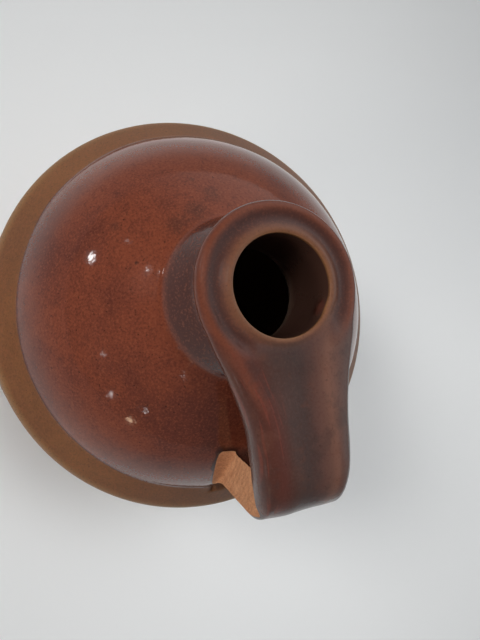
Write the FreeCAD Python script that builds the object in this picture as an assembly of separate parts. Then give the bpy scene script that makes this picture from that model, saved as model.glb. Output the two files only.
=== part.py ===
import FreeCAD, Part
import math
import os

# One stoneware jug, thrown and fired as a single piece.
# Units are mm. The origin is the centre of the foot on the floor, Z goes up the
# axis of the mouth, and the handle reaches along +X with XZ as its middle plane.

Vector = FreeCAD.Vector
os.makedirs("parts", exist_ok=True)


# Body
body_radius = 76.0          # straight wall, up to the corner of the shoulder slope
foot_bevel = 2.5
wall_height = 144.0         # height of that corner above the floor
shoulder_round = 5.0
ledge_width = 9.7           # shoulder slope, from the corner in to the dark glaze
ledge_rise = 11.2
dome_foot_angle = 70.0      # steepness of the round dome at its foot, degrees
wall = 7.0
floor_thickness = 9.0
floor_bevel = 12.0          # slope between the floor and the wall inside

# Neck and mouth
neck_base_radius = 26.6
neck_rise = 30.9            # from the dome up to the lip
neck_waist_radius = 19.2    # corner of the waist, before its round
neck_waist_drop = 14.5      # below the lip
neck_waist_round = 8.0
bore_radius = 14.5
bore_length = 27.0          # straight part of the mouth, for a stopper
lip_bevel = 0.5             # the raised ring round the mouth: broken inner edge,
lip_flat = 1.3              # flat top
lip_slope = 2.2             # and slope down to the groove
groove_width = 0.6          # flat floor of the groove between that ring and the roll
groove_depth = 2.4
roll_round = 2.9            # radius of the collar's outer roll
roll_drop = 1.0             # top of that roll below the lip

# Handle
strap_rise = 0.2            # the strap leaves the collar this far below its roll
strap_hollow = 1.2          # depth of the hollow along its middle
handle_reach = 67.0         # how far the bend stands out from the axis
bend_radius = 17.5
strap_droop = 15.0          # how far the strap dips before the bend, degrees
droop_radius = 103.0
root_angle = 60.0           # outer edge of the root, down the dome from its top, degrees
strap_width = 31.8
leg_width = 26.8            # just under the bend
root_width = 21.5
strap_offset = 0.9          # hand pulled: the strap runs a little to the far side
handle_thickness = 13.0
bend_fill = 1.4             # extra clay inside the bend
flare_length = 42.0         # run over which the collar narrows to the strap
collar_strap_thickness = 8.0
ridge_place = 0.78          # crests of the two ridges, as a share of the half width
root_spread = 2.0           # clay smeared out round the root, each way
root_spread_height = 9.0    # and how far up the leg that starts
root_depth = 3.0            # the root goes on into the wall by this much
dish_radius = 48.0          # round hollow that opens the collar into the strap
dish_step = 0.2             # cut this much deeper than the strap's own hollow

# Broken side of the leg
break_root_offset = 7.3     # from the middle plane, at the root
break_top_offset = 15.0     # and where it runs out under the bend
break_hollow = 1.4
break_rise = 2.2            # how late the face turns outwards on its way up
break_tilt = 0.27
break_ripple = 0.28
break_curl = 0.14           # the break turns out of the clay at the inner edge
break_clearance = 0.9       # unbroken clay left above the dome


# Heights and radii that follow from the sizes above
glaze_radius = body_radius - ledge_width
glaze_height = wall_height + ledge_rise
domeRadius = glaze_radius / math.sin(math.radians(dome_foot_angle))
domeCentreZ = glaze_height - domeRadius * math.cos(math.radians(dome_foot_angle))
neckBaseAngle = math.degrees(math.asin(neck_base_radius / domeRadius))
neckBaseZ = domeCentreZ + domeRadius * math.cos(math.radians(neckBaseAngle))
jugHeight = neckBaseZ + neck_rise


def point(radius, height):
    return Vector(radius, 0, height)


def line(start, end):
    return Part.makeLine(start, end)


def arcAbout(centre, radius, first, last):
    """Arc between two angles in degrees, counted from +X up towards +Z."""
    spots = []
    for angle in (first, (first + last) / 2, last):
        turn = math.radians(angle)
        spots.append(centre + Vector(radius * math.cos(turn), 0, radius * math.sin(turn)))
    return Part.Arc(*spots).toShape()


def roundedCorner(before, corner, after, radius):
    """Tangent points and arc that round the corner between two straight legs."""
    legIn = (before - corner).normalize()
    legOut = (after - corner).normalize()
    half = legIn.getAngle(legOut) / 2
    first = corner + legIn * (radius / math.tan(half))
    last = corner + legOut * (radius / math.tan(half))
    middle = (legIn + legOut).normalize()
    centre = corner + middle * (radius / math.sin(half))
    top = centre - middle * radius
    return first, last, Part.Arc(first, top, last).toShape()


def domePoint(steepness, inset):
    """Point of the dome, or inside it by the inset, where its skin has this steepness."""
    turn = math.radians(steepness)
    radius = domeRadius - inset
    return point(radius * math.sin(turn), domeCentreZ + radius * math.cos(turn))


def revolve(edges):
    face = Part.Face(Part.Wire(Part.__sortEdges__(edges)))
    return face.revolve(Vector(0, 0, 0), Vector(0, 0, 1), 360)


# Skin of the body: bevelled foot, straight wall, shoulder slope and round dome
axisFloor = point(0, 0)
footInner = point(body_radius - foot_bevel, 0)
footOuter = point(body_radius, foot_bevel)
shoulderCorner = point(body_radius, wall_height)
domeFoot = point(glaze_radius, glaze_height)
domeTop = point(neck_base_radius, neckBaseZ)
slopeIn, slopeOut, slopeArc = roundedCorner(footOuter, shoulderCorner, domeFoot, shoulder_round)
domeArc = arcAbout(point(0, domeCentreZ), domeRadius, 90 - dome_foot_angle, 90 - neckBaseAngle)

# Neck with its waist, then the collar: a roll, a groove and the raised lip ring
waist = point(neck_waist_radius, jugHeight - neck_waist_drop)
grooveZ = jugHeight - groove_depth
lipInner = point(bore_radius + lip_bevel, jugHeight)
lipOuter = point(lipInner.x + lip_flat, jugHeight)
grooveIn = point(lipOuter.x + lip_slope, grooveZ)
grooveOut = point(grooveIn.x + groove_width, grooveZ)
rollZ = jugHeight - roll_drop - roll_round
rollHalf = math.sqrt(roll_round ** 2 - (rollZ - grooveZ) ** 2)
rollCentre = point(grooveOut.x + rollHalf, rollZ)
collarRadius = rollCentre.x + roll_round

toRoll = rollCentre - waist
rollTurn = math.atan2(toRoll.z, toRoll.x) - math.asin(roll_round / toRoll.Length)
underRoll = rollCentre + Vector(math.sin(rollTurn), 0, -math.cos(rollTurn)) * roll_round
waistIn, waistOut, waistArc = roundedCorner(domeTop, waist, underRoll, neck_waist_round)

rollFirst = math.degrees(rollTurn) - 90
rollLast = 180 - math.degrees(math.atan2(grooveZ - rollZ, rollHalf))

# Inside: bore, throat, dome, wall and floor
boreTop = point(bore_radius, jugHeight - lip_bevel)
boreFoot = point(bore_radius, boreTop.z - bore_length)
innerTop = domePoint(neckBaseAngle, wall)
innerMiddle = domePoint((neckBaseAngle + dome_foot_angle) / 2, wall)
innerFoot = domePoint(dome_foot_angle, wall)
innerShoulder = point(body_radius - wall, wall_height - wall / 2)
floorOuter = point(body_radius - wall, floor_thickness + floor_bevel)
floorInner = point(body_radius - wall - floor_bevel, floor_thickness)
innerAxis = point(0, floor_thickness)

body = revolve([
    line(axisFloor, footInner),
    line(footInner, footOuter),
    line(footOuter, slopeIn),
    slopeArc,
    line(slopeOut, domeFoot),
    domeArc,
    line(domeTop, waistIn),
    waistArc,
    line(waistOut, underRoll),
    arcAbout(rollCentre, roll_round, rollFirst, rollLast),
    line(grooveOut, grooveIn),
    line(grooveIn, lipOuter),
    line(lipOuter, lipInner),
    line(lipInner, boreTop),
    line(boreTop, boreFoot),
    line(boreFoot, innerTop),
    line(innerTop, innerMiddle),
    line(innerMiddle, innerFoot),
    line(innerFoot, innerShoulder),
    line(innerShoulder, floorOuter),
    line(floorOuter, floorInner),
    line(floorInner, innerAxis),
    line(innerAxis, axisFloor)])

# Solid inside the middle of the wall, for trimming the handle's inner end
half = wall / 2
core = revolve([
    line(point(0, half), point(body_radius - half, half)),
    line(point(body_radius - half, half), point(body_radius - half, wall_height - half)),
    line(point(body_radius - half, wall_height - half), domePoint(dome_foot_angle, half)),
    arcAbout(point(0, domeCentreZ), domeRadius - half, 90 - dome_foot_angle, 90),
    line(point(0, domeCentreZ + domeRadius - half), point(0, half))])


# The collar's roll opens into the strap through a wide round hollow
strapLevel = jugHeight - roll_drop - strap_rise
dishCentre = point(0.8 * bore_radius, strapLevel - strap_hollow - dish_step + dish_radius)
dish = Part.makeCylinder(dish_radius, 2 * collarRadius, dishCentre, Vector(1, 0, 0))
lipKeep = Part.makeCylinder((grooveIn.x + grooveOut.x) / 2, 2 * jugHeight, Vector(0, 0, 0))
body = body.cut(dish.cut(lipKeep))


# Guide line of the handle: flat, a slow dip, the bend, then the leg, which runs straight
# from the bend to its root on the dome. The guide is the outer face, and the section
# hangs inwards from it.
droop = math.radians(strap_droop)
bendCentreX = handle_reach - bend_radius
dipEndX = bendCentreX + bend_radius * math.sin(droop)
dipStartX = dipEndX - droop_radius * math.sin(droop)
dipEndZ = strapLevel - droop_radius * (1 - math.cos(droop))
bendCentre = point(bendCentreX, dipEndZ - bend_radius * math.cos(droop))
root = domePoint(root_angle, 0)
toBend = bendCentre - root
lean = math.pi - math.atan2(toBend.z, toBend.x) - math.acos(bend_radius / toBend.Length)
legStart = bendCentre + point(math.cos(lean), -math.sin(lean)) * bend_radius
legRun = root - legStart


def guideAlongStrap(x):
    if x <= dipStartX:
        return Vector(x, 0, strapLevel), 0.0
    turn = math.asin((x - dipStartX) / droop_radius)
    return Vector(x, 0, strapLevel - droop_radius * (1 - math.cos(turn))), turn


def guideAlongBend(share):
    turn = droop + share * (math.pi / 2 + lean - droop)
    return bendCentre + point(math.sin(turn), math.cos(turn)) * bend_radius, turn


def section(guide, turn, width, thickness, shift=0.0):
    """Closed curve across the handle: two ridges with a hollow between, round sides."""
    outward = Vector(math.sin(turn), 0, math.cos(turn))
    centre = guide - outward * (thickness / 2)
    hollow = 1 - 2 * strap_hollow / thickness / 0.78
    side = ridge_place + (1 - ridge_place) / 0.75

    def curve(*places):
        poles = []
        for across, lift in places:
            poles.append(centre + Vector(0, shift + across * width / 2, 0) + outward * (lift * thickness / 2))
        edge = Part.BezierCurve()
        edge.setPoles(poles)
        return edge.toShape()

    ridge = ridge_place
    top = curve((-ridge, 1), (-0.62 * ridge, 1), (-0.40 * ridge, hollow), (0, hollow),
                (0.40 * ridge, hollow), (0.62 * ridge, 1), (ridge, 1))
    farSide = curve((ridge, 1), (side, 1), (side, -1), (ridge, -1))
    under = curve((ridge, -1), (-ridge, -1))
    nearSide = curve((-ridge, -1), (-side, -1), (-side, 1), (-ridge, 1))
    return Part.Wire([top, farSide, under, nearSide])


def flareAt(x):
    """Share of the collar's width still left at this distance from the axis."""
    return 0.5 + 0.5 * math.cos(math.pi * min(x, flare_length) / flare_length)


sections = []
for share in (0.06, 0.17, 0.29, 0.42, 0.55, 0.68, 0.81, 0.94):
    guide, turn = guideAlongStrap(share * dipEndX)
    flare = flareAt(share * dipEndX)
    width = strap_width + (2 * collarRadius - 0.4 - strap_width) * flare
    width -= (strap_width - leg_width) * 0.40 * share ** 3
    thickness = handle_thickness - (handle_thickness - collar_strap_thickness) * flare ** 0.5
    sections.append(section(guide, turn, width, thickness, strap_offset * (1 - flare)))
for share in (0.10, 0.30, 0.50, 0.70, 0.90):
    guide, turn = guideAlongBend(share)
    width = strap_width - (strap_width - leg_width) * (0.40 + 0.60 * min(1.0, share * 1.1))
    thickness = handle_thickness + bend_fill * math.sin(math.pi * share)
    sections.append(section(guide, turn, width, thickness, strap_offset * (1 - share)))

# Down the leg, then tilting over to lie along the dome at the root
legTurn = math.pi / 2 + lean
rootTurn = math.pi / 2 + math.asin((root.x - handle_thickness / 2) / domeRadius)
spreadStart = 1 - 2 * root_spread_height / legRun.Length
for share in (0.35 * spreadStart, 0.70 * spreadStart, spreadStart):
    width = leg_width - (leg_width - root_width) * share
    sections.append(section(legStart + legRun * share, legTurn, width, handle_thickness))
for spread in (0.35, 0.70, 1.0):
    share = spreadStart + spread * (1 - spreadStart)
    tilt = (rootTurn - legTurn) * spread
    smear = 2 * root_spread * spread ** 2
    width = leg_width - (leg_width - root_width) * share + smear
    guide = legStart + legRun * share + point(smear / 2, 0)
    sections.append(section(guide, legTurn + tilt, width, handle_thickness / math.cos(tilt) + smear))
sunk = point(math.cos(rootTurn), -math.sin(rootTurn)) * root_depth
sections.append(section(guide + sunk, rootTurn, width, handle_thickness / math.cos(tilt) + smear))
handle = Part.makeLoft(sections, True, False, False)


# The broken side: a gently hollow, rippled face struck off the near side of the leg
def breakPoint(along, up):
    """A point of the broken face; along runs outwards, up runs from root to bend."""
    near = handle_reach - 2.0 * handle_thickness
    x = near + along * (handle_reach + 6 - near)
    domeLine = domeCentreZ + math.sqrt(domeRadius ** 2 - min(x, glaze_radius) ** 2)
    low = domeLine + break_clearance
    high = bendCentre.z + bend_radius
    z = low + up * (high - low)
    level = min(1.0, max(0.0, (z - glaze_height) / (high - glaze_height)))
    offset = break_root_offset + (break_top_offset - break_root_offset) * level ** break_rise
    offset -= break_hollow * math.sin(math.pi * level)
    offset += break_tilt * (x - bendCentreX)
    offset += break_curl * max(0.0, handle_reach - 1.35 * handle_thickness - x) ** 2
    offset += break_ripple * math.sin(0.9 * x + 0.35 * z) * math.cos(0.42 * z - 0.2 * x)
    return Vector(x, -offset, z)


grid = []
for i in range(13):
    grid.append([breakPoint(i / 12, k / 15) for k in range(16)])
breakSurface = Part.BSplineSurface()
breakSurface.interpolate(grid)
breakTool = breakSurface.toShape().extrude(Vector(0, -3 * leg_width, 0))

# The handle's inner end stays inside the collar and inside the wall of the dome
collarCore = Part.makeCylinder(rollCentre.x - 0.3, 2 * jugHeight, Vector(0, 0, 0))
handle = handle.cut(collarCore)
handle = handle.cut(core)
handle = handle.cut(breakTool)

jug = body.fuse(handle).removeSplitter()
if jug.ShapeType != "Solid":
    jug = jug.Solids[0]
jug.exportStep("parts/jug.step")
print("jug", len(jug.Solids), "solid, volume", round(jug.Volume / 1000, 1), "cm3, valid", jug.isValid(),
      "faces", len(jug.Faces))
box = jug.BoundBox
print("box", [round(v, 2) for v in (box.XMin, box.YMin, box.ZMin, box.XMax, box.YMax, box.ZMax)])
print("collar radius", round(collarRadius, 2), "height", round(jugHeight, 2), "bore from", round(boreFoot.z, 2),
      "to", round(boreTop.z, 2))
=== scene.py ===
import bpy
import bmesh
import math
import numpy as np
from mathutils import Euler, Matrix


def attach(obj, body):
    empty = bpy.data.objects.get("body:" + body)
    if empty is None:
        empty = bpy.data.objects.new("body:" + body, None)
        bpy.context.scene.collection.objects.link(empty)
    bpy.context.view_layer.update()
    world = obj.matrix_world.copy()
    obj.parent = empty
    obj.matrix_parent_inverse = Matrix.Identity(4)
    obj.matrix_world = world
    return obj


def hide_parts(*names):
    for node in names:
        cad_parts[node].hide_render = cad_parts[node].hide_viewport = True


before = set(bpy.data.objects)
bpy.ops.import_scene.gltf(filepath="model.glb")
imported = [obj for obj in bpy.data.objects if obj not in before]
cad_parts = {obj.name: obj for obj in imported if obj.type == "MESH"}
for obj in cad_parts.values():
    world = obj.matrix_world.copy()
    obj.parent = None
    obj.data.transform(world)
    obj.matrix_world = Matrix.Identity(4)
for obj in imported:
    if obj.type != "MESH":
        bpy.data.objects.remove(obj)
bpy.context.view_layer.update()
print("frame loaded")


# The camera stands where the photograph was taken, looking steeply down at the mouth
viewing = {
    "place": (8.397, -76.059, 384.232),        # mm
    "turn": (4.4712, -21.0527, 78.7635),       # degrees, XYZ
    "lens": 36.0,
    "film": 36.0,
}

camera = bpy.data.cameras.new("camera")
camera.sensor_fit = "AUTO"
camera.sensor_width = viewing["film"]
camera.lens = viewing["lens"]
camera.clip_start = 0.01
cameraObject = bpy.data.objects.new("camera", camera)
cameraObject.location = [value / 1000 for value in viewing["place"]]
cameraObject.rotation_euler = Euler([math.radians(value) for value in viewing["turn"]], "XYZ")
bpy.context.scene.collection.objects.link(cameraObject)
bpy.context.scene.camera = cameraObject


# Small whole-array helpers. All lengths are mm until a mesh is made.
fineStep = 0.15              # between the points of a fine outline


def smoothStep(low, high, value):
    # 0 below low, 1 above high, 3t^2 - 2t^3 between
    t = np.clip((value - low) / (high - low), 0, 1)
    return t * t * (3 - 2 * t)


def ripple(points, size, seed, count=7):
    # sum of sine waves in fixed random directions, about -1 to 1, with waves about size mm long
    dice = np.random.default_rng(seed)
    aim = dice.normal(size=(count, 3))
    aim /= np.linalg.norm(aim, axis=1)[:, None]
    rate = 2 * math.pi / size * dice.uniform(0.6, 1.5, count)
    start = dice.uniform(0, 2 * math.pi, count)
    return np.sin(points @ aim.T * rate + start).sum(1) / math.sqrt(count) / 1.3


def straight(start, end, step=fineStep):
    # evenly spaced points from start up to end, without end itself
    start, end = np.array(start, float), np.array(end, float)
    count = max(2, int(np.linalg.norm(end - start) / step))
    return start + (end - start) * (np.arange(count) / count)[:, None]


def bow(centre, radius, first, last, step=fineStep):
    # points of an arc between two angles in degrees, counted from outwards up to straight up
    count = max(3, int(abs(math.radians(last - first)) * radius / step))
    turn = np.radians(np.linspace(first, last, count, endpoint=False))
    return np.column_stack([centre[0] + radius * np.cos(turn), centre[1] + radius * np.sin(turn)])


def curveThrough(places, step=fineStep):
    # smooth run of points through the given places (Catmull-Rom cubics), without the last one
    knots = np.array(places, float)
    knots = np.vstack([2 * knots[0] - knots[1], knots, 2 * knots[-1] - knots[-2]])
    runs = []
    for a, b, c, d in zip(knots[:-3], knots[1:-2], knots[2:-1], knots[3:]):
        t = np.linspace(0, 1, max(3, int(np.linalg.norm(c - b) / step)), endpoint=False)[:, None]
        runs.append(0.5 * (2 * b + (c - a) * t + (2 * a - 5 * b + 4 * c - d) * t ** 2
                           + (3 * b - a - 3 * c + d) * t ** 3))
    return np.vstack(runs)


def soften(line, width):
    # a run of points averaged along itself with a bell-shaped weight; the ends stay
    reach = int(3 * width)
    bell = np.exp(-0.5 * (np.arange(-reach, reach + 1) / width) ** 2)
    bell /= bell.sum()
    padded = np.vstack([2 * line[0] - line[reach:0:-1], line, 2 * line[-1] - line[-2:-reach - 2:-1]])
    return np.column_stack([np.convolve(padded[:, axis], bell, "valid") for axis in range(line.shape[1])])


def pathNormals(line):
    # unit normals on the right-hand side of a run of points in a plane
    slope = np.gradient(line, axis=0)
    side = np.column_stack([slope[:, 1], -slope[:, 0]])
    return side / np.linalg.norm(side, axis=1)[:, None]


def nearestOnPath(points, line, normals):
    # for each point of a plane: signed distance to a path (positive on its normals' side),
    # the normal there, and the place along the path counted in its points
    leg = line[1:] - line[:-1]
    legSize = (leg ** 2).sum(1)
    away = np.empty(len(points))
    normal = np.empty((len(points), 2))
    place = np.empty(len(points))
    chunk = 8192                               # points at a time, to save memory
    for low in range(0, len(points), chunk):
        part = points[low:low + chunk]
        gap = part[:, None, :] - line[None, :-1, :]
        share = np.clip((gap * leg).sum(2) / legSize, 0, 1)
        miss = gap - share[:, :, None] * leg
        pick = (miss ** 2).sum(2).argmin(1)
        rows = np.arange(len(part))
        t = share[rows, pick][:, None]
        there = normals[pick] * (1 - t) + normals[pick + 1] * t
        there /= np.linalg.norm(there, axis=1)[:, None]
        away[low:low + chunk] = (miss[rows, pick] * there).sum(1)
        normal[low:low + chunk] = there
        place[low:low + chunk] = pick + t[:, 0]
    return away, normal, place


# The thrown jug: one profile, outside and inside, turned round the axis of the mouth
thrown = {
    "bodyRadius": 76.0,
    "footBevel": 2.5,
    "wallHeight": 144.0,
    "shoulderRound": 5.0,
    "glazeRadius": 66.3,
    "glazeHeight": 155.2,
    "domeFootAngle": 70.0,
    "neckBaseRadius": 26.6,
    "waist": (19.2, 212.8),
    "waistRound": 8.0,
    "collar": ((24.15, 221.9), (24.42, 223.2), (24.15, 224.6), (23.35, 225.7), (22.2, 226.15),
               (21.1, 225.9), (20.0, 225.45), (19.0, 225.4), (18.1, 225.75), (17.2, 226.35),
               (16.3, 226.98), (15.6, 227.3), (15.0, 227.3), (14.6, 227.05), (14.48, 226.4)),
    "boreRadius": 14.5,
    "boreFoot": 199.8,
    "wall": 7.0,
    "floor": 9.0,
    "floorSlope": 12.0,        # inside, the floor rises to the wall over this width
    "shoulderStep": 3.5,       # and the wall ends this far under the shoulder
    "softness": 2.6,           # how far edges are softened, in fine steps
    # spacing of the mesh's rows in mm above some heights, outside and inside
    "outerRows": ((-1, 6.0), (137, 0.9), (153, 1.15), (188, 1.0), (213, 0.5)),
    "innerRows": ((-1, 5.0), (196, 2.2), (221, 0.9)),
    # its columns, closer together where the strap joins: from, to and how many
    "columns": ((-180, -84, 40), (-84, -24, 28), (-24, 24, 48), (24, 84, 28), (84, 180, 40)),
}

domeRadius = thrown["glazeRadius"] / math.sin(math.radians(thrown["domeFootAngle"]))
domeCentre = thrown["glazeHeight"] - domeRadius * math.cos(math.radians(thrown["domeFootAngle"]))
neckBaseAngle = math.degrees(math.asin(thrown["neckBaseRadius"] / domeRadius))
neckBase = (thrown["neckBaseRadius"], domeCentre + domeRadius * math.cos(math.radians(neckBaseAngle)))


def domePoint(radius, angle):
    # point on a ball about the dome's centre, angle in degrees from straight up
    turn = math.radians(angle)
    return radius * math.sin(turn), domeCentre + radius * math.cos(turn)


def cornerArc(before, corner, after, radius):
    # tangent points and arc points where two straight legs meet in a round of this radius
    before, corner, after = np.array(before), np.array(corner), np.array(after)
    legIn = (before - corner) / np.linalg.norm(before - corner)
    legOut = (after - corner) / np.linalg.norm(after - corner)
    half = math.acos(float(legIn @ legOut)) / 2
    first = corner + legIn * radius / math.tan(half)
    last = corner + legOut * radius / math.tan(half)
    middle = (legIn + legOut) / np.linalg.norm(legIn + legOut)
    centre = corner + middle * radius / math.sin(half)
    start, end = [math.degrees(math.atan2(point[1] - centre[1], point[0] - centre[0]))
                  for point in (first, last)]
    # the short way round
    if end - start > 180:
        end -= 360
    if start - end > 180:
        end += 360
    return first, last, bow(centre, radius, start, end)


def thrownProfile():
    # the outline from the middle of the foot up the outside, over the lip, down the inside to
    # the middle of the floor; straight runs and arcs, then softened along their length
    t = thrown
    shoulder = (t["bodyRadius"], t["wallHeight"])
    domeFoot = (t["glazeRadius"], t["glazeHeight"])
    footIn = (t["bodyRadius"] - t["footBevel"], 0)
    footOut = (t["bodyRadius"], t["footBevel"])
    slopeIn, slopeOut, slope = cornerArc(footOut, shoulder, domeFoot, t["shoulderRound"])
    waistIn, waistOut, waistArc = cornerArc(neckBase, t["waist"], t["collar"][0], t["waistRound"])
    collar = curveThrough(t["collar"])
    boreFoot = (t["boreRadius"], t["boreFoot"])
    inner = domeRadius - t["wall"]
    wallIn = t["bodyRadius"] - t["wall"]
    wallTop = (wallIn, t["wallHeight"] - t["shoulderStep"])
    wallFoot = (wallIn, t["floor"] + t["floorSlope"])
    floorEdge = (wallIn - t["floorSlope"], t["floor"])
    runs = [
        straight((0, 0), footIn), straight(footIn, footOut), straight(footOut, slopeIn), slope,
        straight(slopeOut, domeFoot),
        bow((0, domeCentre), domeRadius, 90 - t["domeFootAngle"], 90 - neckBaseAngle),
        straight(neckBase, waistIn), waistArc, straight(waistOut, t["collar"][0]), collar,
        straight(collar[-1], boreFoot), straight(boreFoot, domePoint(inner, neckBaseAngle)),
        bow((0, domeCentre), inner, 90 - neckBaseAngle, 90 - t["domeFootAngle"]),
        straight(domePoint(inner, t["domeFootAngle"]), wallTop), straight(wallTop, wallFoot),
        straight(wallFoot, floorEdge), straight(floorEdge, (0, t["floor"])), np.array([[0, t["floor"]]])]
    fine = soften(np.vstack(runs), t["softness"])
    fine[:, 0] = np.maximum(fine[:, 0], 0)
    return fine


def profileRows(fine):
    # rows picked from the fine outline, closer together where the form turns quickly
    radius, height = fine[:, 0], fine[:, 1]
    outside = np.arange(len(fine)) <= height.argmax() + 12
    gap = np.zeros(len(fine))
    for side, spacings in ((outside, thrown["outerRows"]), (~outside, thrown["innerRows"])):
        for over, spacing in spacings:
            gap = np.where(side & (height > over), spacing, gap)
    # close at the foot's bevel and wide on its flat face
    gap = np.where(outside & (height < 4) & (radius > 70), 0.7, gap)
    gap = np.where(outside & (height < 1) & (radius < 70), 9.0, gap)
    # the spacing changes slowly: its logarithm is averaged over 41 points
    gap = np.exp(np.convolve(np.log(np.pad(gap, 20, mode="edge")), np.ones(41) / 41, "valid"))
    size = np.append(0, np.linalg.norm(np.diff(fine, axis=0), axis=1))
    count = np.cumsum(size / gap)
    steps = np.linspace(0, count[-1], int(count[-1]) + 1)
    return np.column_stack([np.interp(steps, count, radius), np.interp(steps, count, height)])


rows = profileRows(thrownProfile())
topRow = int(rows[:, 1].argmax())
skin = rows[:topRow + 14]                    # the outside, over the lip and a little way in
skinNormals = pathNormals(skin)
azimuth = np.radians(np.concatenate([
    np.linspace(start, end, count, endpoint=False) for start, end, count in thrown["columns"]]))
print("profile", len(rows), "rows,", len(azimuth), "columns")


# The strap handle: pulled from the collar, over a bend and down to its root on the dome
strap = {
    "level": 226.1,            # outer face where it leaves the collar
    "hollow": 1.2,
    "reach": 67.0,
    "bendRadius": 17.5,
    "droop": 15.0,
    "droopRadius": 103.0,
    "rootAngle": 60.0,
    "width": 31.8,
    "legWidth": 26.8,
    "rootWidth": 21.5,
    "offset": 0.5,
    "thickness": 13.0,
    "collarThickness": 8.0,
    "bendFill": 1.4,
    "flare": 42.0,             # it widens into the collar within this distance of the axis
    "collarWidth": 47.6,
    "early": 0.40,             # share of its narrowing that comes before the bend
    "hollowStart": (15, 34),   # the hollow begins between these distances from the axis
    "hollowEnd": 0.72,         # and loses this share of its depth round the bend
    "fullness": 2.2,           # 2 is a round side, more is squarer
    "sectionFlat": 0.65,       # flat share of the plain section
    "nearFlat": 0.70,          # the outer face runs from here
    "farFlat": 0.52,           # to here, as shares of the half width, with a ridge at each end
    "legFlat": 0.84,           # the leg is squarer
    "nearDrop": 1.5,           # round the bend the near edge of the outer face falls away by this
    "fill": 1.0,               # clay that fills the groove between lip and strap
    "fillEnd": (15, 30),       # and ends between these distances from the axis
    "topBlend": 1.2,           # how softly it runs into the collar above
    "lowBlend": 5.8,           # and under the strap and round the root
}


def strapGuide():
    # the outer face seen from the side: level, a slow dip, a round bend, a straight leg to the dome;
    # with it go the half width, thickness, sideways shift, depth of the hollow, flat shares of the
    # near and far half and the drop of the near edge
    s = strap
    step = 0.4
    droop = math.radians(s["droop"])
    bendX = s["reach"] - s["bendRadius"]
    dipStartX = bendX + s["bendRadius"] * math.sin(droop) - s["droopRadius"] * math.sin(droop)
    bendZ = s["level"] - s["droopRadius"] * (1 - math.cos(droop)) - s["bendRadius"] * math.cos(droop)
    root = np.array(domePoint(domeRadius, s["rootAngle"]))
    toBend = np.array([bendX, bendZ]) - root
    lean = math.pi - math.atan2(toBend[1], toBend[0]) - math.acos(s["bendRadius"] / np.linalg.norm(toBend))
    legStart = np.array([bendX + s["bendRadius"] * math.cos(lean),
                         bendZ - s["bendRadius"] * math.sin(lean)])
    legEnd = root + (root - legStart) * 0.35
    levelLine = straight((0, s["level"]), (dipStartX, s["level"]), step)
    droopLine = bow((dipStartX, s["level"] - s["droopRadius"]), s["droopRadius"], 90, 90 - s["droop"], step)
    bendLine = bow((bendX, bendZ), s["bendRadius"], 90 - s["droop"], -math.degrees(lean), step)
    legLine = straight(legStart, legEnd, step)
    line = soften(np.vstack([levelLine, droopLine, bendLine, legLine, legEnd[None]]), 4.0)
    run = np.append(0, np.cumsum(np.linalg.norm(np.diff(line, axis=0), axis=1)))
    legRow = len(line) - len(legLine) - 1
    bendRun, legRun = run[legRow - len(bendLine)], run[legRow]
    rootRun = legRun + np.linalg.norm(root - legStart)
    # half a wave of the cosine widens the strap towards the axis
    flare = 0.5 + 0.5 * np.cos(math.pi * np.minimum(line[:, 0], s["flare"]) / s["flare"])
    flare = np.where(run < bendRun + 5, flare, 0)
    alongBend = np.clip((run - bendRun) / (legRun - bendRun), 0, 1)
    alongLeg = np.clip((run - legRun) / (rootRun - legRun), 0, 1)
    narrowed = s["early"] * np.clip(run / bendRun, 0, 1) ** 3
    narrowed = narrowed + (1 - s["early"]) * np.minimum(1, alongBend * 1.1)
    width = s["width"] + (s["collarWidth"] - s["width"]) * flare
    width -= (s["width"] - s["legWidth"]) * narrowed
    width -= (s["legWidth"] - s["rootWidth"]) * alongLeg
    thickness = s["thickness"] - (s["thickness"] - s["collarThickness"]) * np.sqrt(flare)
    thickness += s["bendFill"] * np.sin(math.pi * alongBend)
    shift = s["offset"] * (1 - flare) * (1 - alongBend)
    hollow = s["hollow"] * (1 - s["hollowEnd"] * smoothStep(bendRun - 6, legRun - 8, run))
    hollow = hollow * smoothStep(*s["hollowStart"], line[:, 0])
    square = smoothStep(bendRun - 8, legRun, run)
    nearFlat, farFlat = [s[side] + (s["legFlat"] - s[side]) * square for side in ("nearFlat", "farFlat")]
    line[:, 1] += s["fill"] * (1 - smoothStep(*s["fillEnd"], line[:, 0])) * (run < bendRun)
    drop = s["nearDrop"] * smoothStep(bendRun - 8, bendRun + 8, run)
    drop = drop * smoothStep(legRun + 2, legRun - 10, run)
    shape = soften(np.column_stack([width / 2, thickness, shift, hollow, nearFlat, farFlat, drop]), 5.0)
    return line, run, shape, legRun


guide, guideRun, guideShape, legRun = strapGuide()
guideNormals = -pathNormals(guide)


def shapeAt(value, places):
    # the seven rows of the strap's shape, read at some places along it
    return [np.interp(value, places, column) for column in guideShape.T]


def flatEnd(across, shape):
    return np.where(across < 0, shape[4], shape[5])


def hollowDepth(across, lift, shape):
    # how far the outer face sinks: a half wave of the cosine between its two ridges, and a slow
    # fall towards the near edge
    share = np.minimum(abs(across) / flatEnd(across, shape), 1)
    sink = shape[3] * (0.5 + 0.5 * np.cos(math.pi * share)) + shape[6] * smoothStep(0.25, 1.0, -across)
    return smoothStep(-0.2, 0.6, lift) * sink


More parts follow.
